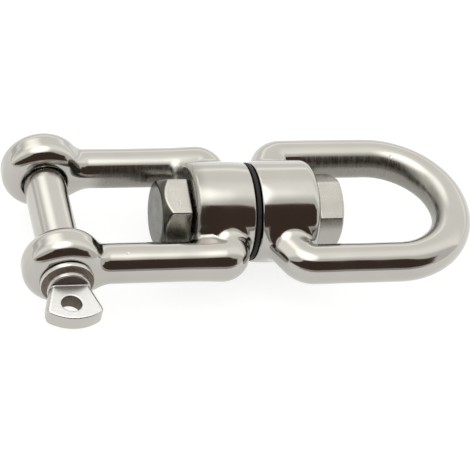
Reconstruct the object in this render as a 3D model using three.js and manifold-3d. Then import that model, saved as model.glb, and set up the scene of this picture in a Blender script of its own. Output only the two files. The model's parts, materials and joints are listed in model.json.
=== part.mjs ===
// Jaw-and-eye anchor swivel in stainless steel, lying flat with its long axis along X.
//
// The jaw (a clevis with a screw pin) is on the -X side and the bow of the eye on the +X side.
// Both end in a round hub, and one hexagon bolt runs through the two hubs along X, so the eye
// turns endlessly against the jaw. A thin ring keeps the hubs apart. The clevis pin runs along Y
// with its lug towards -Y and its thread in the far ear. Millimetres, +Z up.
//
// Every piece is first placed about the swivel axis, with x = 0 in the middle of the gap between
// the hubs. The last group moves the whole swivel so that it stands on z = 0, centred in x and y.

import * as THREE from 'three';
import { mergeVertices } from 'three/addons/utils/BufferGeometryUtils.js';
import Module from 'manifold-3d';

const wasm = await Module();
wasm.setup();

// ---------------------------------------------------------------- driving dimensions
const BAR_RADIUS = 5;             // round bar of the jaw arms and of the bow
const CLEARANCE = 0.3;            // running gap between pieces that turn or slide on each other

const HUB_RADIUS = 12.9;
const HUB_GAP = 1.7;              // between the two hub faces, filled by the ring
const JAW_HUB_LENGTH = 15;
const EYE_HUB_LENGTH = 15.7;
const HUB_INNER_ROUND = 0.5;      // rim at the gap
const JAW_HUB_ROUND = 1.1;        // rim towards the clevis pin
const EYE_HUB_ROUND = 2.4;        // rim towards the bow

const PIN_X = -49.9;              // axis of the clevis pin
const PIN_RADIUS = 5.3;
const THREAD_RADIUS = 4.9;        // threaded end of the pin, over its crests
const ARM_Y = 16.6;               // centre line of each jaw arm
const ARM_ROOT_X = -7.6;          // where the arms run into the sides of the jaw hub
const ARM_BEND = 2.8;             // centre-line radius of the arm's corner
const EAR_RADIUS = 10.2;
const EAR_INNER_Y = 11.5;         // flat inner face of each ear
const EAR_THICKNESS = 10.2;
const EAR_FLAT_RADIUS = 7;        // flat part of the ear's faces
const SEAT_DEPTH = 1.2;           // recess in the far ear that takes the end of the pin's shank

const COLLAR_RADIUS = 6.7;
const COLLAR_THICKNESS = 2.1;
const COLLAR_CHAMFER = 1.1;       // cone on the collar's lug side, 45 degrees
const NECK_LENGTH = 1.1;          // round stretch between collar and lug
const LUG_THICKNESS = 4;
const LUG_LENGTH = 10.8;
const LUG_ROOT_HALF_WIDTH = 5;
const LUG_HALF_WIDTH = 7.35;
const LUG_CORNER_START = 3.6;      // from the tip, where the straight flared sides end
const LUG_CORNER_BEND = 2.4;       // from the tip, where side and tip would meet unrounded
const LUG_CORNER_WIDTH = 1.4;      // reach of the corner's round along the tip
const LUG_BOW = 1.7;               // fall of the bowed tip at its corners
const LUG_HOLE_RADIUS = 2.5;
const LUG_HOLE_FROM_TIP = 4.9;
const LUG_HOLE_ASIDE = -0.6;       // the hole sits a little off the pin's axis

const BOW_Y = 18.8;               // centre line of the bow's bars, and radius of its round end
const BOW_END_X = 36;           // centre of the round end
const BOW_ROOT_X = 8.2;           // where the bow leaves the hub's sides
const BOW_CORNER_X = 11.2;        // where the slanting roots meet the bow's bars
const BOW_BEND = 2.4;             // how far the corner's round reaches along each leg

const BOLT_RADIUS = 5;
const HEX_ACROSS_FLATS = 17;      // bolt head and nut
const HEAD_HEIGHT = 7.2;
const HEAD_PLAY = 0.6;            // the bolt's end play, open under the head
const NUT_HEIGHT = 6.7;
// Chamfered ends: radius of the flat circle, and fall of the chamfer per unit of radius.
const HEAD_CHAMFER = { radius: 7.8, slope: 1.1 };
const NUT_CHAMFER = { radius: 8.1, slope: 0.5 };
const HEAD_TURN = THREE.MathUtils.degToRad(14.4);  // angle of one head corner from +Y
const NUT_TURN = THREE.MathUtils.degToRad(28.2);   // angle of one nut corner from +Y
const BOLT_END_RECESS = 0.8;      // the peened bolt end stops inside the nut

const RING_RADIUS = 12.5;

// ---------------------------------------------------------------- worked-out places
const JAW_GAP_FACE = -HUB_GAP / 2;
const JAW_OUTER_FACE = JAW_GAP_FACE - JAW_HUB_LENGTH;
const EYE_GAP_FACE = HUB_GAP / 2;
const EYE_OUTER_FACE = EYE_GAP_FACE + EYE_HUB_LENGTH;
const EAR_OUTER_Y = EAR_INNER_Y + EAR_THICKNESS;
const HEAD_SEAT = JAW_OUTER_FACE - HEAD_PLAY;
const HEAD_END = HEAD_SEAT - HEAD_HEIGHT;
const NUT_SEAT = EYE_OUTER_FACE + CLEARANCE;
const NUT_END = NUT_SEAT + NUT_HEIGHT;
const COLLAR_BACK_Y = -(EAR_OUTER_Y + CLEARANCE);
const COLLAR_FRONT_Y = COLLAR_BACK_Y - COLLAR_THICKNESS;
const NECK_END_Y = COLLAR_FRONT_Y - NECK_LENGTH;
const LUG_TIP_Y = NECK_END_Y - LUG_LENGTH;
const SHANK_END_Y = EAR_INNER_Y + SEAT_DEPTH - CLEARANCE;
const THREAD_END_Y = EAR_OUTER_Y - CLEARANCE;

const BAR_SIDES = 16;
const ARM_STEPS = 18;             // sections along each arm
const BOW_STEPS = 48;             // sections along the bow
const HUB_SIDES = 44;
const RIM_STEPS = 3;              // facets in a rounded rim
const EAR_SIDES = 32;
const EAR_STEPS = 5;              // facets from an ear's flat face to its widest ring
const BORE_SIDES = 24;
const LUG_STEPS = 10;             // segments in each curve of the lug's outline
const OVERCUT = 1;                // how far a cutter runs past the face it opens
const MERGE_DISTANCE = 1e-5;      // points closer than this are one vertex

// ---------------------------------------------------------------- booleans
function toSolid(geometry) {
  geometry.deleteAttribute('normal');
  geometry.deleteAttribute('uv');
  const merged = mergeVertices(geometry, MERGE_DISTANCE);
  return new wasm.Manifold(new wasm.Mesh({
    numProp: 3,
    vertProperties: new Float32Array(merged.attributes.position.array),
    triVerts: new Uint32Array(merged.index.array),
  }));
}

function toGeometry(solid) {
  const mesh = solid.getMesh();
  const geometry = new THREE.BufferGeometry();
  geometry.setAttribute('position', new THREE.BufferAttribute(mesh.vertProperties, 3));
  geometry.setIndex(new THREE.BufferAttribute(mesh.triVerts, 1));
  geometry.computeVertexNormals();
  return geometry;
}

function joined(first, ...others) {
  return others.reduce((solid, other) => solid.add(other), first);
}

function cut(solid, ...tools) {
  return tools.reduce((left, tool) => left.subtract(tool), solid);
}

// ---------------------------------------------------------------- basic shapes
// A profile lists [distance along the axis, radius]; it starts and ends on the axis.
function turned(profile, sides) {
  const points = profile.map(([along, radius]) => new THREE.Vector2(radius, along));
  return new THREE.LatheGeometry(points, sides);
}

// A lathe body's axis is +Y; this lays it along +X.
function alongX(geometry) {
  return geometry.rotateZ(-Math.PI / 2);
}

function rodAlongX(radius, from, to, sides = BORE_SIDES) {
  return toSolid(alongX(turned([[from, 0], [from, radius], [to, radius], [to, 0]], sides)));
}

// A rod or disc about the clevis pin's axis.
function rodAlongPin(radius, from, to, sides = BORE_SIDES) {
  return toSolid(turned([[from, 0], [from, radius], [to, radius], [to, 0]], sides).translate(PIN_X, 0, 0));
}

// A quarter of an ellipse in profile form. From angle 0 it climbs to its widest ring, and from a
// quarter turn it falls again on the far side.
function quarter(centreAlong, centreRadius, alongAxis, outward, fromAngle, steps) {
  return Array.from({ length: steps + 1 }, (_, i) => {
    const angle = fromAngle + (i / steps) * (Math.PI / 2);
    return [centreAlong - alongAxis * Math.cos(angle), centreRadius + outward * Math.sin(angle)];
  });
}

// A drum along X with both rims rounded.
function drum(from, to, radius, roundFrom, roundTo) {
  const profile = [
    [from, 0],
    ...quarter(from + roundFrom, radius - roundFrom, roundFrom, roundFrom, 0, RIM_STEPS),
    ...quarter(to - roundTo, radius - roundTo, roundTo, roundTo, Math.PI / 2, RIM_STEPS),
    [to, 0],
  ];
  return toSolid(alongX(turned(profile, HUB_SIDES)));
}

// A path drawn in the XY plane, for sweeping.
class PlanarCurve extends THREE.Curve {
  constructor(path) {
    super();
    this.path = path;
  }

  getPoint(t, target = new THREE.Vector3()) {
    const point = this.path.getPoint(t);
    return target.set(point.x, point.y, 0);
  }
}

function roundBar(path, steps) {
  const section = new THREE.Shape().absarc(0, 0, BAR_RADIUS, 0, 2 * Math.PI);
  return toSolid(new THREE.ExtrudeGeometry(section, {
    steps,
    curveSegments: BAR_SIDES / 2,
    extrudePath: new PlanarCurve(path),
  }));
}

// Hexagon with its end faces chamfered to a circle, along X; seat is the flat bearing end.
function hexagon(seat, end, turn, chamfer) {
  const cornerRadius = HEX_ACROSS_FLATS / Math.sqrt(3);
  const outward = Math.sign(end - seat);
  const fall = (cornerRadius + OVERCUT - chamfer.radius) * chamfer.slope;
  const prism = new THREE.CylinderGeometry(cornerRadius, cornerRadius, Math.abs(end - seat), 6);
  prism.rotateY(Math.PI / 2).rotateZ(-Math.PI / 2).rotateX(turn).translate((seat + end) / 2, 0, 0);
  const profile = [
    [seat, 0],
    [seat, cornerRadius + OVERCUT],
    [end - outward * fall, cornerRadius + OVERCUT],
    [end, chamfer.radius],
    [end, 0],
  ];
  const limit = alongX(turned(outward > 0 ? profile : profile.reverse(), HUB_SIDES));
  return toSolid(prism).intersect(toSolid(limit));
}

// ---------------------------------------------------------------- jaw
function ear(side) {
  const middle = EAR_THICKNESS / 2;
  const overhang = EAR_RADIUS - EAR_FLAT_RADIUS;
  const profile = [
    [-middle, 0],
    ...quarter(0, EAR_FLAT_RADIUS, middle, overhang, 0, EAR_STEPS),
    ...quarter(0, EAR_FLAT_RADIUS, middle, overhang, Math.PI / 2, EAR_STEPS).slice(1),
    [middle, 0],
  ];
  return toSolid(turned(profile, EAR_SIDES).translate(PIN_X, side * (EAR_INNER_Y + middle), 0));
}

function jawArm(side) {
  const earEnd = PIN_X + BAR_RADIUS - OVERCUT;
  const path = new THREE.Path();
  path.moveTo(earEnd, side * ARM_Y);
  path.lineTo(ARM_ROOT_X - ARM_BEND, side * ARM_Y);
  path.quadraticCurveTo(ARM_ROOT_X, side * ARM_Y, ARM_ROOT_X, side * (ARM_Y - ARM_BEND));
  path.lineTo(ARM_ROOT_X, side * BAR_RADIUS);
  return roundBar(path, ARM_STEPS);
}

function jawBody() {
  const hub = drum(JAW_OUTER_FACE, JAW_GAP_FACE, HUB_RADIUS, JAW_HUB_ROUND, HUB_INNER_ROUND);
  const blank = joined(hub, jawArm(-1), jawArm(1), ear(-1), ear(1));
  const farFace = EAR_OUTER_Y + OVERCUT;
  return cut(
    blank,
    rodAlongX(BOLT_RADIUS + CLEARANCE, JAW_OUTER_FACE - OVERCUT, JAW_GAP_FACE + OVERCUT),
    rodAlongPin(PIN_RADIUS + CLEARANCE, -farFace, EAR_INNER_Y + SEAT_DEPTH),
    rodAlongPin(THREAD_RADIUS + CLEARANCE, EAR_INNER_Y, farFace),
  );
}

// ---------------------------------------------------------------- eye
function bow() {
  const rise = BOW_Y - HUB_RADIUS;
  const lean = (BOW_CORNER_X - BOW_ROOT_X) / rise;      // +X per unit of distance from the axis
  const legLength = Math.hypot(1, lean);
  const bendX = BOW_CORNER_X - (BOW_BEND * lean) / legLength;
  const bendY = BOW_Y - BOW_BEND / legLength;
  const startX = BOW_ROOT_X - lean * (HUB_RADIUS - 2 * BAR_RADIUS);
  const path = new THREE.Path();
  path.moveTo(startX, -2 * BAR_RADIUS);
  path.lineTo(bendX, -bendY);
  path.quadraticCurveTo(BOW_CORNER_X, -BOW_Y, BOW_CORNER_X + BOW_BEND, -BOW_Y);
  path.lineTo(BOW_END_X, -BOW_Y);
  path.absarc(BOW_END_X, 0, BOW_Y, -Math.PI / 2, Math.PI / 2);
  path.lineTo(BOW_CORNER_X + BOW_BEND, BOW_Y);
  path.quadraticCurveTo(BOW_CORNER_X, BOW_Y, bendX, bendY);
  path.lineTo(startX, 2 * BAR_RADIUS);
  return roundBar(path, BOW_STEPS);
}

function eyeBody() {
  const hub = drum(EYE_GAP_FACE, EYE_OUTER_FACE, HUB_RADIUS, HUB_INNER_ROUND, EYE_HUB_ROUND);
  const bore = rodAlongX(BOLT_RADIUS + CLEARANCE, EYE_GAP_FACE - OVERCUT, EYE_OUTER_FACE + OVERCUT);
  return cut(joined(hub, bow()), bore);
}

// ---------------------------------------------------------------- swivel bolt, nut and ring
function swivelBolt() {
  const shank = rodAlongX(BOLT_RADIUS, HEAD_SEAT - OVERCUT, NUT_END - BOLT_END_RECESS);
  return joined(hexagon(HEAD_SEAT, HEAD_END, HEAD_TURN, HEAD_CHAMFER), shank);
}

function swivelNut() {
  const bore = rodAlongX(BOLT_RADIUS + CLEARANCE, NUT_SEAT - OVERCUT, NUT_END + OVERCUT);
  return cut(hexagon(NUT_SEAT, NUT_END, NUT_TURN, NUT_CHAMFER), bore);
}

function thrustRing() {
  const halfWidth = HUB_GAP / 2 - CLEARANCE;
  const disc = rodAlongX(RING_RADIUS, -halfWidth, halfWidth, HUB_SIDES);
  return cut(disc, rodAlongX(BOLT_RADIUS + CLEARANCE, -HUB_GAP, HUB_GAP));
}

// ---------------------------------------------------------------- clevis pin
function pinLug() {
  const shoulderY = LUG_TIP_Y + LUG_CORNER_START;
  const bendY = LUG_TIP_Y + LUG_CORNER_BEND;
  const bowX = LUG_HALF_WIDTH - LUG_CORNER_WIDTH;
  const bowY = LUG_TIP_Y + LUG_BOW;
  const outline = new THREE.Shape();
  outline.moveTo(LUG_ROOT_HALF_WIDTH, COLLAR_FRONT_Y);
  outline.lineTo(LUG_ROOT_HALF_WIDTH, NECK_END_Y);
  outline.lineTo(LUG_HALF_WIDTH, shoulderY);
  outline.quadraticCurveTo(LUG_HALF_WIDTH, bendY, bowX, bowY);
  outline.quadraticCurveTo(bowX / 2, LUG_TIP_Y, 0, LUG_TIP_Y);
  outline.quadraticCurveTo(-bowX / 2, LUG_TIP_Y, -bowX, bowY);
  outline.quadraticCurveTo(-LUG_HALF_WIDTH, bendY, -LUG_HALF_WIDTH, shoulderY);
  outline.lineTo(-LUG_ROOT_HALF_WIDTH, NECK_END_Y);
  outline.lineTo(-LUG_ROOT_HALF_WIDTH, COLLAR_FRONT_Y);
  const hole = new THREE.Path();
  hole.absarc(LUG_HOLE_ASIDE, LUG_TIP_Y + LUG_HOLE_FROM_TIP, LUG_HOLE_RADIUS, 0, 2 * Math.PI);
  outline.holes.push(hole);
  const blade = new THREE.ExtrudeGeometry(outline, {
    depth: LUG_THICKNESS,
    curveSegments: LUG_STEPS,
    bevelEnabled: false,
  });
  return toSolid(blade.translate(PIN_X, 0, -LUG_THICKNESS / 2));
}

function pinCollar() {
  const profile = [
    [COLLAR_FRONT_Y, 0],
    [COLLAR_FRONT_Y, COLLAR_RADIUS - COLLAR_CHAMFER],
    [COLLAR_FRONT_Y + COLLAR_CHAMFER, COLLAR_RADIUS],
    [COLLAR_BACK_Y, COLLAR_RADIUS],
    [COLLAR_BACK_Y, 0],
  ];
  return toSolid(turned(profile, BORE_SIDES).translate(PIN_X, 0, 0));
}

function clevisPin() {
  return joined(
    rodAlongPin(THREAD_RADIUS, SHANK_END_Y - OVERCUT, THREAD_END_Y),
    rodAlongPin(PIN_RADIUS, NECK_END_Y, SHANK_END_Y),
    pinCollar(),
    pinLug(),
  );
}

// ---------------------------------------------------------------- assembly
const polishedSteel = { color: 0xc9c5bd, roughness: 0.12, metalness: 1 };
const brightSteel = { color: 0xbdb9b0, roughness: 0.28, metalness: 1 };
const blackPlastic = { color: 0x15130f, roughness: 0.55, metalness: 0 };

const pieces = [
  ['jaw_body', jawBody(), polishedSteel],
  ['eye_body', eyeBody(), polishedSteel],
  ['swivel_bolt', swivelBolt(), brightSteel],
  ['swivel_nut', swivelNut(), brightSteel],
  ['thrust_ring', thrustRing(), blackPlastic],
  ['clevis_pin', clevisPin(), polishedSteel],
];

const swivel = new THREE.Group();
for (const [name, solid, finish] of pieces) {
  const mesh = new THREE.Mesh(toGeometry(solid), new THREE.MeshStandardMaterial(finish));
  mesh.name = name;
  swivel.add(mesh);
}

// Stand the swivel on z = 0 with its box centred on the origin in x and y.
const lowX = PIN_X - EAR_RADIUS;
const highX = BOW_END_X + BOW_Y + BAR_RADIUS;
const highY = BOW_Y + BAR_RADIUS;
swivel.position.set(-(lowX + highX) / 2, -(LUG_TIP_Y + highY) / 2, HUB_RADIUS);

const group = new THREE.Group();
group.name = 'anchor_swivel';
group.add(swivel);
export default group;
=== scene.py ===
"""Looks of the anchor swivel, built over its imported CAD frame.

One finer mesh stands for each CAD piece. Its shape is a distance field in millimetres about the
swivel axis, with x = 0 in the middle of the gap between the hubs: negative inside the steel and
positive outside. Fields are joined by smooth blends, so forged fillets, rolled edges and threads
are real geometry. A net of quads is then pulled onto each field's surface.
"""
import json
import math

import bpy
import numpy as np
from mathutils import Matrix, Vector


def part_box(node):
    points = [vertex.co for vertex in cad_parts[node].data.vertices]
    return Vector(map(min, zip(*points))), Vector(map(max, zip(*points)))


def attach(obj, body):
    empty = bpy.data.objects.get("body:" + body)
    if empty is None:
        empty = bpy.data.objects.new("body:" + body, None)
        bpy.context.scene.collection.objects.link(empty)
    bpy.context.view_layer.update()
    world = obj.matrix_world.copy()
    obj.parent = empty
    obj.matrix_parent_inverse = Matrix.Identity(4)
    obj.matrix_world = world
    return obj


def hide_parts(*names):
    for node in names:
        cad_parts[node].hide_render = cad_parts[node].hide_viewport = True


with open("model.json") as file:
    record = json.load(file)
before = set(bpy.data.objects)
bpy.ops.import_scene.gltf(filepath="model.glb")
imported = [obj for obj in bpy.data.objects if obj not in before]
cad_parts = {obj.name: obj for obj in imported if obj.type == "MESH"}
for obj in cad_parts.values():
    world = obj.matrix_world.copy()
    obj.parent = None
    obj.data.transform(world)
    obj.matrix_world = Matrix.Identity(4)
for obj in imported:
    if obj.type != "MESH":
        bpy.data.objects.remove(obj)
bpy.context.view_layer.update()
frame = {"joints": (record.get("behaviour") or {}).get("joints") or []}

MM = 0.001
TAU = 2 * math.pi


# ------------------------------------------------------------------ dimensions from the frame
def joint_origin(name):
    """Where a joint's axis sits, in metres in the row frame."""
    for joint in frame["joints"]:
        if joint["name"] == name:
            return Vector(joint["pos_m"])
    raise ValueError(f"the frame has no joint named {name}")


ORIGIN = joint_origin("eye_swivel")


def local_box(node):
    """A node's box in millimetres about the swivel axis."""
    low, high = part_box(node)
    return np.array((Vector(low) - ORIGIN) / MM), np.array((Vector(high) - ORIGIN) / MM)


jaw_low, jaw_high = local_box("jaw_body")
eye_low, eye_high = local_box("eye_body")
bolt_low, bolt_high = local_box("swivel_bolt")
nut_low, nut_high = local_box("swivel_nut")
ring_low, ring_high = local_box("thrust_ring")
pin_low, pin_high = local_box("clevis_pin")

BAR_RADIUS = 5.0
CLEARANCE = 0.3
HUB_RADIUS = eye_high[2]
HEAD_PLAY = 0.6                            # open under the bolt's head
HEAD_HEIGHT = 7.2
JAW_HUB = (bolt_low[0] + HEAD_HEIGHT + HEAD_PLAY, jaw_high[0])
EYE_HUB = (eye_low[0], nut_low[0] - CLEARANCE)
JAW_HUB_ROUNDS = (1.1, 0.4)
EYE_HUB_ROUNDS = (0.4, 2.4)
HUB_CROWN = 0.35                           # how much lower a hub is at its ends than at its middle
JAW_CROWN_POWER = 2.5
EYE_CROWN_POWER = 6.0                      # a flatter middle and a quicker fall at the ends

EAR_RADIUS = 10.2
EAR_THICKNESS = 10.2
EAR_ROUND = 4.3                            # the ears are nearly rings of round bar
EAR_OUTER_Y = jaw_high[1]
EAR_MIDDLE_Y = EAR_OUTER_Y - EAR_THICKNESS / 2
PIN_X = jaw_low[0] + EAR_RADIUS
PIN_RADIUS = 5.3
THREAD_RADIUS = 4.9
SEAT_DEPTH = 1.2                           # recess in the far ear for the end of the pin's shank
SEAT_Y = EAR_OUTER_Y - EAR_THICKNESS + SEAT_DEPTH
EAR_FILLETS = (1.6, 2.0)                   # on top, where the near and the far arm meet their ears
EAR_FILLET_BELOW = 1.4                     # how much wider those fillets are underneath

ARM_Y = EAR_MIDDLE_Y
ARM_ROOT_X = -7.6
ARM_BEND = 2.6                             # centre-line radius of the arm's corner
ARM_SWELL = 0.35                           # how much thicker an arm is at its root
ARM_SWELL_REACH = 6.0
ARM_ROOT_FILLETS = (3.3, 1.9)              # on the ear side and on the gap side of a root
ARM_DULL_SHADE_END = (-12.0, -17.0)              # where the rougher inner face of an arm, painted darker as shade, fades out, in x

BOW_Y = eye_high[1] - BAR_RADIUS
BOW_END_X = eye_high[0] - BAR_RADIUS - BOW_Y
BOW_ROOT_X = 8.2
BOW_CORNER_X = 11.2
BOW_REACH = 2.4                            # how far the corner's round reaches along each leg
BOW_ROOT_FILLET = 2.4

BOLT_RADIUS = 5.0
HEX_APOTHEM = 8.5
HEAD_CHAMFER = (7.8, 1.1)                  # radius of the flat end, and fall per unit of radius
NUT_CHAMFER = (8.1, 0.5)
HEAD_TURN = math.radians(14.4)
NUT_TURN = math.radians(28.2)

COLLAR_RADIUS = pin_high[2]
COLLAR_BACK_Y = -(EAR_OUTER_Y + CLEARANCE)
COLLAR_THICKNESS = 2.1
COLLAR_CHAMFER = 1.1
NECK_LENGTH = 1.1
COLLAR_FRONT_Y = COLLAR_BACK_Y - COLLAR_THICKNESS
NECK_END_Y = COLLAR_FRONT_Y - NECK_LENGTH
LUG_TIP_Y = pin_low[1]
LUG_THICKNESS = 4.0
LUG_ROOT_HALF_WIDTH = 5.0
LUG_HALF_WIDTH = pin_high[0] - PIN_X
LUG_HOLE_RADIUS = 2.5
LUG_HOLE_FROM_TIP = 4.9
LUG_HOLE_ASIDE = -0.6


# ------------------------------------------------------------------ fields
def length(*parts):
    """Length of a vector, given its parts as arrays."""
    return np.sqrt(sum(part * part for part in parts))


def union(a, b, blend=0.001):
    """Both solids, with a fillet about as wide as blend where they meet."""
    overlap = np.maximum(blend - np.abs(a - b), 0) / blend
    return np.minimum(a, b) - overlap * overlap * blend / 4


def common(a, b, blend=0.001):
    """What lies in both solids, with the edge between them rounded."""
    return -union(-a, -b, blend)


def cut(a, b, blend=0.001):
    """The first solid without the second."""
    return -union(-a, b, blend)


def rounded(*sides, edge):
    """Solid inside every side, with round edges of that radius. Sides are mutually square fields."""
    deepest = -np.inf
    outside = 0
    for side in sides:
        deepest = np.maximum(deepest, side + edge)
        outside = outside + np.maximum(side + edge, 0) ** 2
    return np.sqrt(outside) + np.minimum(deepest, 0) - edge


def disc(along, radial, start, end, radius, edge):
    """A round disc or rod between two places on its axis."""
    return rounded(np.maximum(start - along, along - end), radial - radius, edge=edge)


def to_segment(x, y, ax, ay, bx, by):
    """Distance in the plane to the straight piece from a to b."""
    dx, dy = bx - ax, by - ay
    share = np.clip(((x - ax) * dx + (y - ay) * dy) / (dx * dx + dy * dy), 0, 1)
    return length(x - ax - share * dx, y - ay - share * dy)


def to_arc(x, y, cx, cy, radius, middle, half_sweep):
    """Distance in the plane to an arc, given its centre, radius, middle angle and half its sweep."""
    turned_x = (x - cx) * math.cos(middle) + (y - cy) * math.sin(middle)
    turned_y = np.abs((y - cy) * math.cos(middle) - (x - cx) * math.sin(middle))
    end_x, end_y = radius * math.cos(half_sweep), radius * math.sin(half_sweep)
    beside = turned_x * math.sin(half_sweep) > turned_y * math.cos(half_sweep)
    on_arc = np.abs(length(turned_x, turned_y) - radius)
    return np.where(beside, on_arc, length(turned_x - end_x, turned_y - end_y))


def smooth(value, low, high):
    """0 at low and 1 at high, with a smooth rise between."""
    share = np.clip((value - low) / (high - low), 0, 1)
    return share * share * (3 - 2 * share)


def change(values, place, width):
    """Goes from the first value to the second as place passes zero."""
    middle, half = (values[0] + values[1]) / 2, (values[1] - values[0]) / 2
    return middle + half * np.tanh(place / width)


def ripple(x, y, z, size, seed):
    """Smooth unevenness between -1 and 1, with bumps about that far apart."""
    draw = np.random.default_rng(seed)
    waves = 6
    total = 0
    for _ in range(waves):
        way = draw.normal(size=3)
        way *= TAU / size / np.linalg.norm(way)
        total = total + np.sin(x * way[0] + y * way[1] + z * way[2] + draw.uniform(0, TAU))
    return total / waves


def thread_groove(along, angle, pitch, depth):
    """How far a screw thread's surface lies below its crest."""
    place = np.mod(along / pitch - angle / TAU, 1)
    rise = np.abs(place - 0.5) * 2
    crest_flat, root_flat = 0.14, 0.9
    return depth * (np.clip(rise, crest_flat, root_flat) - crest_flat) / (root_flat - crest_flat)


# ------------------------------------------------------------------ jaw
FORGED_RIPPLE = 0.035
BORE_EDGE = 0.4                            # round at the mouths of the bolt's bore
PIN_HOLE_EDGES = (0.7, 0.3)                # round at the mouths of the plain and the threaded hole
FAR = 99.0                                 # well past every surface
THREAD_PITCH = 1.5
THREAD_DEPTH = 0.8


def arm_field(x, y, z):
    """Both arms of the jaw: round bar from the pin's axis to a corner and into the hub."""
    side = np.abs(y)
    straight = to_segment(x, side, PIN_X, ARM_Y, ARM_ROOT_X - ARM_BEND, ARM_Y)
    corner = to_arc(
        x, side, ARM_ROOT_X - ARM_BEND, ARM_Y - ARM_BEND, ARM_BEND, math.pi / 4, math.pi / 4
    )
    root = to_segment(x, side, ARM_ROOT_X, ARM_Y - ARM_BEND, ARM_ROOT_X, BAR_RADIUS)
    path = np.minimum(np.minimum(straight, corner), root)
    swell = ARM_SWELL * np.exp(-(((x - ARM_ROOT_X) / ARM_SWELL_REACH) ** 2))
    return length(path, z) - BAR_RADIUS - swell


def hub_field(x, y, z, ends, rounds, power):
    """A hub between two places on the swivel axis, crowned like a barrel."""
    middle = (ends[0] + ends[1]) / 2
    edge = np.where(x < middle, rounds[0], rounds[1])
    half = (ends[1] - ends[0]) / 2
    crown = HUB_CROWN * np.clip(np.abs(x - middle) / half, 0, 1.1) ** power
    return disc(x, length(y, z) + crown, *ends, HUB_RADIUS, edge)


def bolt_hole(x, y, z):
    """The bore through both hubs, running a little past their outer faces."""
    past = 2
    return disc(x, length(y, z), JAW_HUB[0] - past, EYE_HUB[1] + past, BOLT_RADIUS + CLEARANCE, 0)


def ear_field(x, y, z):
    """Both ears, nearly rings of round bar about the pin's axis."""
    along = np.abs(y) - EAR_MIDDLE_Y
    half = EAR_THICKNESS / 2
    return disc(along, length(x - PIN_X, z), -half, half, EAR_RADIUS, EAR_ROUND)


def jaw_field(x, y, z):
    hub = hub_field(x, y, z, JAW_HUB, JAW_HUB_ROUNDS, JAW_CROWN_POWER)
    root_fillet = change(ARM_ROOT_FILLETS, x - ARM_ROOT_X, 2)
    body = union(hub, arm_field(x, y, z), root_fillet)
    ear_fillet = np.where(y > 0, EAR_FILLETS[1], EAR_FILLETS[0])
    ear_fillet = ear_fillet + change((EAR_FILLET_BELOW, 0), z, 3)
    body = union(body, ear_field(x, y, z), ear_fillet)
    body = body + FORGED_RIPPLE * ripple(x, y, z, size=9, seed=11)
    body = cut(body, bolt_hole(x, y, z), BORE_EDGE)
    radial = length(x - PIN_X, z)
    angle = np.arctan2(z, x - PIN_X)
    shank_hole = disc(y, radial, -FAR, SEAT_Y, PIN_RADIUS + CLEARANCE, 0)
    groove = THREAD_DEPTH / 2 - thread_groove(y, angle, THREAD_PITCH, THREAD_DEPTH / 2)
    thread_hole = disc(y, radial - groove, 0, FAR, THREAD_RADIUS + CLEARANCE, 0)
    body = cut(body, shank_hole, PIN_HOLE_EDGES[0])
    return cut(body, thread_hole, PIN_HOLE_EDGES[1])


# ------------------------------------------------------------------ eye
def bow_field(x, y, z):
    """The eye's round bar: slanting roots, corners, straight sides and a half-circle end."""
    side = np.abs(y)
    lean = (BOW_CORNER_X - BOW_ROOT_X) / (BOW_Y - HUB_RADIUS)
    turn = math.pi / 2 - math.atan(lean)
    bend = BOW_REACH / math.tan(turn / 2)
    start_x = BOW_ROOT_X - lean * (HUB_RADIUS - BAR_RADIUS)
    root_end_x = BOW_CORNER_X - BOW_REACH * math.cos(turn)
    root_end_y = BOW_Y - BOW_REACH * math.sin(turn)
    root = to_segment(x, side, start_x, BAR_RADIUS, root_end_x, root_end_y)
    corner = to_arc(
        x, side, BOW_CORNER_X + BOW_REACH, BOW_Y - bend, bend, math.pi / 2 + turn / 2, turn / 2
    )
    straight = to_segment(x, side, BOW_CORNER_X + BOW_REACH, BOW_Y, BOW_END_X, BOW_Y)
    end = to_arc(x, side, BOW_END_X, 0, BOW_Y, 0, math.pi / 2)
    path = np.minimum(np.minimum(root, corner), np.minimum(straight, end))
    return length(path, z) - BAR_RADIUS


def eye_field(x, y, z):
    hub = hub_field(x, y, z, EYE_HUB, EYE_HUB_ROUNDS, EYE_CROWN_POWER)
    body = union(hub, bow_field(x, y, z), BOW_ROOT_FILLET)
    body = body + FORGED_RIPPLE * ripple(x, y, z, size=10, seed=23)
    return cut(body, bolt_hole(x, y, z), BORE_EDGE)


# ------------------------------------------------------------------ bolt, nut and ring
BOLT_THREAD_DEPTH = 0.7
BOLT_END_ROUND = 0.8
HEAD_FILLET = 0.6
NUT_MOUTH = 0.9                            # break at the mouths of the nut's bore
RING_EDGES = (0.4, 0.2)                    # rounds of the ring's rim and bore


def hexagon_field(x, y, z, seat, end, turn, chamfer_from, fall):
    """A chamfered hexagon along X. The seat is its flat bearing face."""
    edge = 0.35
    outward = 1 if end > seat else -1
    flats = None
    for k in range(3):
        facet = turn + math.pi / 6 + k * math.pi / 3
        face = np.abs(y * math.cos(facet) + z * math.sin(facet)) - HEX_APOTHEM
        flats = face if flats is None else common(flats, face, edge)
    beyond = (x - end) * outward
    chamfer = (beyond + (length(y, z) - chamfer_from) * fall) / math.hypot(1, fall)
    body = common(flats, (seat - x) * outward, edge)
    body = common(body, chamfer, edge)
    return common(body, beyond, edge)


def bolt_field(x, y, z):
    head = hexagon_field(x, y, z, JAW_HUB[0] - HEAD_PLAY, bolt_low[0], HEAD_TURN, *HEAD_CHAMFER)
    radial = length(y, z)
    angle = np.arctan2(z, y)
    threaded = np.clip(x - EYE_HUB[1] + 1, 0, 1)
    groove = threaded * thread_groove(x, angle, THREAD_PITCH, BOLT_THREAD_DEPTH)
    shank = disc(x, radial + groove, bolt_low[0] + 2, bolt_high[0], BOLT_RADIUS, BOLT_END_ROUND)
    return union(head, shank, HEAD_FILLET)


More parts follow.
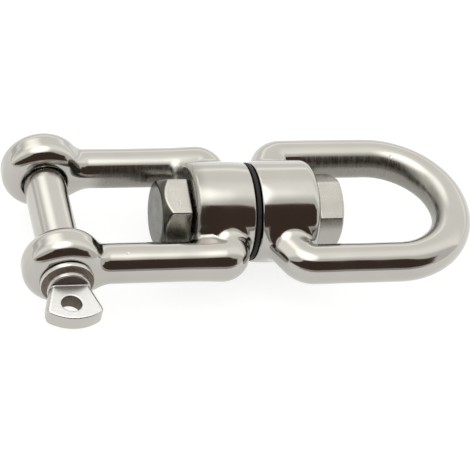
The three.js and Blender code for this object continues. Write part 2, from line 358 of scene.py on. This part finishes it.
def nut_field(x, y, z):
    body = hexagon_field(x, y, z, nut_low[0], nut_high[0], NUT_TURN, *NUT_CHAMFER)
    hole = length(y, z) - BOLT_RADIUS - CLEARANCE
    return cut(body, hole, NUT_MOUTH)


def ring_field(x, y, z):
    radial = length(y, z)
    body = disc(x, radial, ring_low[0], ring_high[0], ring_high[2], RING_EDGES[0])
    return cut(body, radial - BOLT_RADIUS - CLEARANCE, RING_EDGES[1])


# ------------------------------------------------------------------ clevis pin
LUG_WIDEST_FROM_TIP = 3.0
LUG_BOW_RADIUS = 10.3
LUG_CORNER_ROUND = 1.6
LUG_EDGE = 0.5
LUG_SIDE_CHAMFER = 0.9


def lug_field(x, y, z):
    across = np.abs(x - PIN_X)
    widest_y = LUG_TIP_Y + LUG_WIDEST_FROM_TIP
    flare = (LUG_HALF_WIDTH - LUG_ROOT_HALF_WIDTH) / (NECK_END_Y - widest_y)
    half_width = LUG_ROOT_HALF_WIDTH + (NECK_END_Y - y) * flare
    sides = (across - half_width) / math.hypot(1, flare)
    tip = length(across, y - LUG_TIP_Y - LUG_BOW_RADIUS) - LUG_BOW_RADIUS
    outline = common(common(sides, tip, LUG_CORNER_ROUND), y - NECK_END_Y - 1)
    faces = np.abs(z) - LUG_THICKNESS / 2
    side_chamfer = (sides + faces + LUG_SIDE_CHAMFER) / math.sqrt(2)
    return common(common(outline, faces, LUG_EDGE), side_chamfer, 0.4)


def to_lug_hole(x, y):
    """Distance from the axis of the lug's hole."""
    return length(x - PIN_X - LUG_HOLE_ASIDE, y - LUG_TIP_Y - LUG_HOLE_FROM_TIP)


def pin_field(x, y, z):
    radial = length(x - PIN_X, z)
    angle = np.arctan2(z, x - PIN_X)
    shank_end = SEAT_Y - CLEARANCE
    shank = disc(y, radial, COLLAR_BACK_Y - 1, shank_end, PIN_RADIUS, 0.4)
    collar = disc(y, radial, COLLAR_FRONT_Y, COLLAR_BACK_Y, COLLAR_RADIUS, 0.25)
    cone = (radial - COLLAR_RADIUS + COLLAR_FRONT_Y + COLLAR_CHAMFER - y) / math.sqrt(2)
    collar = common(collar, cone, 0.5)
    neck = disc(y, radial, NECK_END_Y, COLLAR_FRONT_Y + 1, PIN_RADIUS, 0.3)
    groove = thread_groove(y, angle, THREAD_PITCH, THREAD_DEPTH)
    thread = disc(y, radial + groove, shank_end - 1, pin_high[1], THREAD_RADIUS, 0.6)
    body = union(union(shank, collar), thread, 0.2)
    body = union(body, neck, 0.2)
    body = union(body, lug_field(x, y, z), 0.4)
    return cut(body, to_lug_hole(x, y) - LUG_HOLE_RADIUS, 0.3)


# ------------------------------------------------------------------ net of quads
PROBE = 0.01                               # half the span over which a slope is measured
PULLS = 4
MARGIN = 1.8                               # the blends bulge a little past the CAD boxes


def slope(field, points):
    """The field's gradient at each point."""
    columns = []
    for axis in range(3):
        ahead, behind = points.copy(), points.copy()
        ahead[:, axis] += PROBE
        behind[:, axis] -= PROBE
        columns.append((field(*ahead.T) - field(*behind.T)) / (2 * PROBE))
    return np.stack(columns, axis=1)


def net(field, low, high, step):
    """Points, quads and unit normals of the surface where the field is zero."""
    axes = [np.arange(a - MARGIN, b + MARGIN + step, step) for a, b in zip(low, high)]
    values = field(*np.meshgrid(*axes, indexing="ij", sparse=True))
    inside = values < 0
    shape = np.array(values.shape)
    corners = [np.array([i, j, k]) for i in (0, 1) for j in (0, 1) for k in (0, 1)]
    count = sum(
        inside[c[0]:shape[0] - 1 + c[0], c[1]:shape[1] - 1 + c[1], c[2]:shape[2] - 1 + c[2]]
        .astype(np.int8)
        for c in corners
    )
    mixed = (count > 0) & (count < 8)
    cells = np.argwhere(mixed)
    number = np.full(mixed.shape, -1, dtype=np.int64)
    number[mixed] = np.arange(len(cells))

    total = np.zeros((len(cells), 3))
    crossings = np.zeros(len(cells))
    for a in corners:
        for axis in range(3):
            if a[axis]:
                continue
            b = a.copy()
            b[axis] = 1
            at_a = values[tuple((cells + a).T)]
            at_b = values[tuple((cells + b).T)]
            crossed = (at_a < 0) != (at_b < 0)
            share = np.where(crossed, at_a / np.where(crossed, at_a - at_b, 1), 0)
            spot = a + share[:, None] * (b - a)
            total += np.where(crossed[:, None], spot, 0)
            crossings += crossed
    points = (cells + total / crossings[:, None]) * step + [axis[0] for axis in axes]

    quads = []
    for axis in range(3):
        u, v = (axis + 1) % 3, (axis + 2) % 3
        low_side = [slice(1, None)] * 3
        low_side[axis] = slice(0, -1)
        high_side = list(low_side)
        high_side[axis] = slice(1, None)
        here, there = inside[tuple(low_side)], inside[tuple(high_side)]
        starts = np.argwhere(here != there)
        leaving = here[tuple(starts.T)]
        starts += 1
        starts[:, axis] -= 1
        step_u, step_v = np.eye(3, dtype=int)[u], np.eye(3, dtype=int)[v]
        loop = [starts - step_u - step_v, starts - step_v, starts, starts - step_u]
        quad = np.stack([number[tuple(cell.T)] for cell in loop], axis=1)
        quads.append(np.where(leaving[:, None], quad, quad[:, ::-1]))

    for _ in range(PULLS):
        gradient = slope(field, points)
        steepness = np.maximum((gradient ** 2).sum(axis=1), 0.05)
        pull = field(*points.T) / steepness
        points -= np.clip(pull, -step, step)[:, None] * gradient
    normals = slope(field, points)
    normals /= np.linalg.norm(normals, axis=1)[:, None]
    return points, np.concatenate(quads), normals


def piece(name, node, body, field, step, material, rough_and_shade=None):
    """Builds one visual piece in place of a CAD node. Its last argument says, from 0 to 1, where the piece
    has another finish or is painted darker as shade.
    """
    low, high = local_box(node)
    detail = 1
    points, quads, normals = net(field, low, high, step * detail)
    mesh = bpy.data.meshes.new(name)
    mesh.from_pydata((points * MM + np.array(ORIGIN)).tolist(), [], quads.tolist())
    mesh.shade_smooth()
    mesh.normals_split_custom_set_from_vertices(normals.tolist())
    if rough_and_shade is not None:
        share = mesh.attributes.new("rough_and_shade", "FLOAT", "POINT")
        share.data.foreach_set("value", rough_and_shade(*points.T).astype(np.float32))
    obj = bpy.data.objects.new(name, mesh)
    bpy.context.collection.objects.link(obj)
    mesh.materials.append(material)
    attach(obj, body)
    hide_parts(node)
    return obj


# ------------------------------------------------------------------ materials
class Shader:
    """A Principled material under construction."""

    def __init__(self, name):
        self.material = bpy.data.materials.new(name)
        self.material.use_nodes = True
        self.tree = self.material.node_tree
        self.surface = self.tree.nodes["Principled BSDF"]
        self.place = self.node("ShaderNodeTexCoord").outputs["Object"]

    def node(self, kind, **settings):
        made = self.tree.nodes.new(kind)
        for key, value in settings.items():
            setattr(made, key, value)
        return made

    def feed(self, made, **inputs):
        """Sets or links a node's inputs, named with _ for each space."""
        for key, value in inputs.items():
            socket = made.inputs[key.replace("_", " ")]
            if isinstance(value, bpy.types.NodeSocket):
                self.tree.links.new(value, socket)
            else:
                socket.default_value = value
        return made

    def stretched(self, x, y, z):
        """Object coordinates with each axis scaled, so that marks run across the others."""
        mapping = self.node("ShaderNodeMapping")
        self.feed(mapping, Vector=self.place, Scale=(x, y, z))
        return mapping.outputs["Vector"]

    def noise(self, place, scale, detail=4.0, roughness=0.55):
        made = self.node("ShaderNodeTexNoise")
        self.feed(made, Vector=place, Scale=scale, Detail=detail, Roughness=roughness)
        return made.outputs["Fac"]

    def pits(self, scale, size):
        """1 on the surface and 0 in the middle of sparse round pits."""
        cells = self.node("ShaderNodeTexVoronoi")
        self.feed(cells, Vector=self.place, Scale=scale, Randomness=1.0)
        return self.between(cells.outputs["Distance"], size * 0.4, size, 0, 1)

    def between(self, value, low, high, to_low, to_high):
        made = self.node("ShaderNodeMapRange", interpolation_type="SMOOTHSTEP")
        self.feed(
            made, Value=value, From_Min=low, From_Max=high, To_Min=to_low, To_Max=to_high
        )
        return made.outputs["Result"]

    def rough_and_shade_share(self):
        # how far each place has its other finish or its painted shade
        return self.node("ShaderNodeAttribute", attribute_name="rough_and_shade").outputs["Fac"]

    def blend(self, share, first, second):
        """A value or colour that goes from the first socket to the second as share rises."""
        made = self.node("ShaderNodeMix", data_type="RGBA")
        self.tree.links.new(share, made.inputs["Factor"])
        for socket, value in zip((made.inputs[6], made.inputs[7]), (first, second)):
            if isinstance(value, bpy.types.NodeSocket):
                self.tree.links.new(value, socket)
            else:
                socket.default_value = value
        return made.outputs[2]

    def bump(self, height, distance, strength=1.0, below=None):
        made = self.node("ShaderNodeBump")
        self.feed(made, Height=height, Distance=distance, Strength=strength)
        if below is not None:
            self.tree.links.new(below, made.inputs["Normal"])
        return made.outputs["Normal"]

    def finish(self, **inputs):
        self.feed(self.surface, **inputs)
        return self.material


def polished_steel():
    """Forged bars, polished across their length: fine hoops, faint clouding and a few pits.

    The legs' inner faces, which a polishing wheel hardly reaches, are rougher, and they are painted greyer
    as shade for the shaded table they mirror between the bars.
    """
    s = Shader("polished_steel")
    share = s.rough_and_shade_share()
    hoops = s.noise(s.stretched(2600, 160, 160), 1.0, 3.0)
    clouds = s.noise(s.place, 90, 4.0)
    pits = s.pits(130, 0.06)
    normal = s.bump(hoops, 0.000007, 0.6)
    normal = s.bump(pits, 0.00006, 0.6, below=normal)
    wheel_marks = s.noise(s.stretched(1500, 300, 300), 1.0, 3.0)
    bright = s.blend(clouds, (0.42, 0.41, 0.38, 1), (0.48, 0.47, 0.44, 1))
    # painted shade: this darker colour on the inner faces stands in for the shade they mirror
    dull = s.blend(wheel_marks, (0.20, 0.195, 0.175, 1), (0.32, 0.31, 0.28, 1))
    colour = s.blend(share, bright, dull)
    smooth_polish = s.between(clouds, 0.3, 0.7, 0.07, 0.14)
    rough_polish = s.between(wheel_marks, 0.3, 0.7, 0.24, 0.36)
    polish = s.blend(share, smooth_polish, rough_polish)
    return s.finish(Base_Color=colour, Metallic=1.0, Roughness=polish, Normal=normal)


def bright_steel():
    """Machined hexagons: satin flats with fine file marks. The head's end face and chamfer, the bolt's
    threads and the nut's bore are painted dark as shade.
    """
    s = Shader("bright_steel")
    marks = s.noise(s.stretched(300, 2400, 2400), 1.0, 3.0)
    clouds = s.noise(s.place, 220, 5.0)
    # mottling of the painted shade below
    shade_mottle = s.noise(s.stretched(400, 900, 200), 1.0, 4.0)
    normal = s.bump(marks, 0.000008, 0.6)
    normal = s.bump(s.pits(420, 0.12), 0.00008, 0.6, below=normal)
    flats = s.blend(clouds, (0.37, 0.36, 0.33, 1), (0.48, 0.465, 0.43, 1))
    # painted shade: this near-black colour stands in for the shaded table and hollows that these faces
    # mirror
    ends = s.blend(shade_mottle, (0.045, 0.043, 0.034, 1), (0.105, 0.10, 0.085, 1))
    colour = s.blend(s.rough_and_shade_share(), flats, ends)
    polish = s.between(clouds, 0.3, 0.7, 0.18, 0.30)
    return s.finish(Base_Color=colour, Metallic=1.0, Roughness=polish, Normal=normal)


def turned_steel():
    """The pin: turned, with fine rings round its axis. Its lug is satin, and the step is left rough. The
    wall of the lug's hole is painted dark as shade, and the collar's cone is darker too.
    """
    s = Shader("turned_steel")
    rings = s.noise(s.stretched(120, 3000, 120), 1.0, 2.0)
    clouds = s.noise(s.place, 150, 4.0)
    grain = s.noise(s.place, 1500, 3.0)
    share = s.rough_and_shade_share()
    shank = s.blend(clouds, (0.44, 0.43, 0.40, 1), (0.50, 0.49, 0.46, 1))
    satin = s.blend(grain, (0.60, 0.60, 0.59, 1), (0.74, 0.74, 0.73, 1))
    # this dark colour is real rough scale on the step; on the wall of the lug's hole it is painted shade
    scale = s.blend(grain, (0.07, 0.055, 0.045, 1), (0.24, 0.20, 0.17, 1))
    colour = s.blend(s.between(share, 0.2, 0.4, 0, 1), shank, satin)
    colour = s.blend(s.between(share, 0.7, 0.9, 0, 1), colour, scale)
    satin_polish = s.between(share, 0.2, 0.4, 0.15, 0.36)
    polish = s.blend(s.between(share, 0.7, 0.9, 0, 1), satin_polish, (0.55, 0.55, 0.55, 1))
    normal = s.bump(rings, 0.000006, 0.6)
    normal = s.bump(grain, 0.000012, 0.5, below=normal)
    return s.finish(Base_Color=colour, Metallic=1.0, Roughness=polish, Normal=normal)


def jaw_rough_and_shade(x, y, z):
    """The inner faces of the arms, between the ears and the hub: rougher, and painted darker as shade."""
    inward = (ARM_Y - np.abs(y)) / BAR_RADIUS
    past_ear = smooth(x, PIN_X + EAR_RADIUS, PIN_X + EAR_RADIUS + 6)
    return smooth(inward, 0.5, 0.85) * past_ear * smooth(x, *ARM_DULL_SHADE_END)


def eye_rough_and_shade(x, y, z):
    """The inside of the bow: rougher, and painted darker as shade."""
    reach = np.where(x > BOW_END_X, length(x - BOW_END_X, y), np.abs(y))
    inward = (BOW_Y - reach) / BAR_RADIUS
    return smooth(inward, 0.35, 0.8) * smooth(x, EYE_HUB[1] - 1, EYE_HUB[1] + 4)


def bolt_painted_shade(x, y, z):
    """Where the bolt is painted dark as shade: its head's end face and chamfer fully, and its threads at
    0.7.
    """
    chamfer_from, fall = HEAD_CHAMFER
    chamfer = bolt_low[0] + np.maximum(length(y, z) - chamfer_from, 0) * fall
    head_end = np.clip((chamfer + 0.25 - x) / 0.2, 0, 1) * (x < JAW_HUB[0])
    threads = np.clip((x - EYE_HUB[1]) / 0.5, 0, 1)
    return np.maximum(head_end, threads * 0.7)


def nut_bore_painted_shade(x, y, z):
    """The nut's threaded bore, painted dark as shade."""
    return np.clip((BOLT_RADIUS + 1 - length(y, z)) / 0.6, 0, 1)


def pin_rough_and_shade(x, y, z):
    """Half on the lug's satin faces, 0.9 on the collar's cone, and full on the step and the hole."""
    radial = length(x - PIN_X, z)
    lug = (np.abs(z) > LUG_THICKNESS / 2 - 0.12) & (y < NECK_END_Y)
    step = (np.abs(y - NECK_END_Y) < 0.35) & (radial < PIN_RADIUS - 0.35)
    step = step & (np.abs(z) > LUG_THICKNESS / 2 + 0.15)
    cone = (y < COLLAR_FRONT_Y + COLLAR_CHAMFER - 0.1) & (y > COLLAR_FRONT_Y - 0.35)
    cone = cone & (radial > PIN_RADIUS - 0.1)
    # painted shade: the wall of the lug's hole is darkened
    hole = np.clip((LUG_HOLE_RADIUS + 0.2 - to_lug_hole(x, y)) / 0.2, 0, 1)
    return np.maximum.reduce([0.5 * lug, 1.0 * step, 0.9 * cone, hole])


def black_plastic():
    """The ring: dull moulded plastic with a fine grain."""
    s = Shader("black_plastic")
    grain = s.noise(s.place, 900, 5.0)
    colour = s.blend(grain, (0.008, 0.007, 0.006, 1), (0.022, 0.02, 0.017, 1))
    dull = s.between(grain, 0.3, 0.7, 0.5, 0.7)
    return s.finish(
        Base_Color=colour, Roughness=dull, Specular_IOR_Level=0.25, Normal=s.bump(grain, 0.00003)
    )


bars = polished_steel()
hexes = bright_steel()
turned = turned_steel()
plastic = black_plastic()

piece("jaw_forging", "jaw_body", "jaw", jaw_field, 0.34, bars, jaw_rough_and_shade)
piece("eye_forging", "eye_body", "eye", eye_field, 0.34, bars, eye_rough_and_shade)
piece("hex_bolt", "swivel_bolt", "bolt", bolt_field, 0.2, hexes, bolt_painted_shade)
piece("hex_nut", "swivel_nut", "bolt", nut_field, 0.2, hexes, nut_bore_painted_shade)
piece("gap_ring", "thrust_ring", "ring", ring_field, 0.2, plastic)
piece("screw_pin", "clevis_pin", "pin", pin_field, 0.22, turned, pin_rough_and_shade)


# ------------------------------------------------------------------ camera
AZIMUTH = math.radians(-22.96)
ELEVATION = math.radians(43.53)
ROLL = math.radians(14.85)                 # clockwise
DISTANCE = 593.0                           # from the swivel axis's origin, in mm
VIEW_WIDTH = 118.687                       # width in view at that distance, in mm
ASIDE = -2.70                              # how far right of the swivel axis's origin it looks, in mm
ABOVE = -5.81                              # and how far above it


def place_camera():
    """From above and a little left of the front, rolled clockwise."""
    right = Vector((math.cos(AZIMUTH), math.sin(AZIMUTH), 0))
    up = Vector(
        (
            -math.sin(AZIMUTH) * math.sin(ELEVATION),
            math.cos(AZIMUTH) * math.sin(ELEVATION),
            math.cos(ELEVATION),
        )
    )
    back = right.cross(up)
    rolled_right = right * math.cos(ROLL) + up * math.sin(ROLL)
    rolled_up = up * math.cos(ROLL) - right * math.sin(ROLL)
    spot = ORIGIN + (back * DISTANCE + rolled_right * ASIDE + rolled_up * ABOVE) * MM

    data = bpy.data.cameras.new("camera")
    camera = bpy.data.objects.new("camera", data)
    bpy.context.collection.objects.link(camera)
    turn = Matrix((rolled_right, rolled_up, back)).transposed()
    camera.matrix_world = Matrix.Translation(spot) @ turn.to_4x4()
    data.lens = DISTANCE / VIEW_WIDTH * data.sensor_width
    data.clip_start = 0.01
    bpy.context.scene.camera = camera


# ------------------------------------------------------------------ studio
def spot(ways, azimuth, elevation, inner, outer):
    """1 within inner degrees of a direction and 0 beyond outer degrees."""
    a, e = math.radians(azimuth), math.radians(elevation)
    centre = (math.sin(a) * math.cos(e), -math.cos(a) * math.cos(e), math.sin(e))
    away = np.degrees(np.arccos(np.clip(ways @ centre, -1, 1)))
    return 1 - smooth(away, inner, outer)


# Extra light from soft lamps, and less light in a dim corner: strength, azimuth, elevation, and the
# angles at which each starts and ends its fade. Angles are in degrees.
LAMPS = [
    (1.5, -60, 78, 12, 32),
    (0.9, -145, 48, 8, 26),
    (-0.3, -130, 20, 10, 30),
]
WALL = 1.12
ROOM_DARK = 0.06
ROOM_START = (7.5, 10)                     # fall over which the room begins, above the table
ROOM_TOP = 61                              # fall at which it ends
ROOM_TOP_DROP = 12                         # how much sooner it ends towards the right
ROOM_LEFT = -0.97                          # its left limit low down, as the rightward part of a way
ROOM_LEFT_INSET = 0.5                      # how far that limit moves in towards the top
TABLE_SHADE = 0.55


def brightness(ways):
    """What the steel mirrors from each direction: white walls and ceiling, and a dark room in front.

    Fall is the angle up from the horizon in front, over the top and down to the horizon behind.
    Also returns how far each direction belongs to the room, from 0 to 1.
    """
    fall = np.degrees(np.arctan2(ways[:, 2], -ways[:, 1]))
    right = ways[:, 0]
    shade = WALL + 0.12 * smooth(fall, 170, 150)                # the wall behind, darker low down
    shade = shade + 0.45 * np.exp(-(((fall - 158) / 5) ** 2))   # a bright slit in that wall
    shade = shade + 0.25 * smooth(fall, 130, 100)               # the ceiling
    for strength, azimuth, elevation, inner, outer in LAMPS:
        shade = shade + strength * spot(ways, azimuth, elevation, inner, outer)
    shade = shade - 0.6 * smooth(fall, 88, 66)                  # the ceiling dims towards the room
    left = ROOM_LEFT + ROOM_LEFT_INSET * smooth(fall, 32, 60)
    top = ROOM_TOP - ROOM_TOP_DROP * smooth(right, 0.3, 0.75)
    room = smooth(fall, top + 3, top - 1) * smooth(fall, *ROOM_START)
    room = room * smooth(right, left - 0.03, left + 0.03) * smooth(right, 0.83, 0.78)
    table = smooth(fall, 9, 4) * smooth(np.abs(right), 0.8, 0.6) * (ways[:, 1] < 0)
    shade = shade * (1 - TABLE_SHADE * table)
    return shade * (1 - room) + ROOM_DARK * room, room


def studio_dome():
    """A dome that only reflections see, so it hides nothing and casts no shadow."""
    radius = 1.5
    columns, rows = 360, 100
    lowest = -4
    azimuths = np.radians(np.arange(columns) * 360 / columns)
    elevations = np.radians(np.linspace(lowest, 90, rows))
    azimuths, elevations = [grid.ravel() for grid in np.meshgrid(azimuths, elevations)]
    ways = np.stack(
        [
            np.sin(azimuths) * np.cos(elevations),
            -np.cos(azimuths) * np.cos(elevations),
            np.sin(elevations),
        ],
        axis=1,
    )
    quads = [
        (r * columns + c, r * columns + (c + 1) % columns,
         (r + 1) * columns + (c + 1) % columns, (r + 1) * columns + c)
        for r in range(rows - 1)
        for c in range(columns)
    ]
    mesh = bpy.data.meshes.new("studio_dome")
    mesh.from_pydata((ways * radius + np.array(ORIGIN)).tolist(), [], quads)
    shade, room = brightness(ways)
    white, brown = np.array([1.0, 0.985, 0.955]), np.array([1.25, 0.85, 0.66])
    colour = shade[:, None] * (white * (1 - room[:, None]) + brown * room[:, None])
    paint = mesh.color_attributes.new("glow", "FLOAT_COLOR", "POINT")
    paint.data.foreach_set("color", np.column_stack([colour, np.ones(len(colour))]).ravel())

    material = bpy.data.materials.new("studio_glow")
    material.use_nodes = True
    tree = material.node_tree
    tree.nodes.clear()
    glow = tree.nodes.new("ShaderNodeAttribute")
    glow.attribute_name = "glow"
    light = tree.nodes.new("ShaderNodeEmission")
    tree.links.new(glow.outputs["Color"], light.inputs["Color"])
    output = tree.nodes.new("ShaderNodeOutputMaterial")
    tree.links.new(light.outputs["Emission"], output.inputs["Surface"])
    mesh.materials.append(material)

    dome = bpy.data.objects.new("studio_dome", mesh)
    bpy.context.collection.objects.link(dome)
    dome.visible_camera = False
    dome.visible_diffuse = False
    dome.visible_shadow = False
    dome.visible_transmission = False


def floor():
    """A pale table that glows a little, so that the part's own shadow on it stays faint."""
    size = 6.0
    mesh = bpy.data.meshes.new("floor")
    corners = [(-size, -size, 0), (size, -size, 0), (size, size, 0), (-size, size, 0)]
    mesh.from_pydata(corners, [], [(0, 1, 2, 3)])
    s = Shader("table")
    grain = s.noise(s.place, 40, 3.0)
    colour = s.blend(grain, (0.31, 0.31, 0.30, 1), (0.33, 0.33, 0.32, 1))
    paper = s.finish(Base_Color=colour, Roughness=0.6, Emission_Color=(1, 1, 1, 1), Emission_Strength=0.76)
    mesh.materials.append(paper)
    obj = bpy.data.objects.new("floor", mesh)
    bpy.context.collection.objects.link(obj)


def sky():
    """Even light on everything that isn't a mirror."""
    world = bpy.data.worlds.new("studio")
    bpy.context.scene.world = world
    world.use_nodes = True
    background = world.node_tree.nodes["Background"]
    background.inputs["Color"].default_value = (1.0, 0.99, 0.965, 1)
    background.inputs["Strength"].default_value = 1.1


place_camera()
floor()
sky()
studio_dome()
bpy.context.scene.view_settings.view_transform = "Standard"
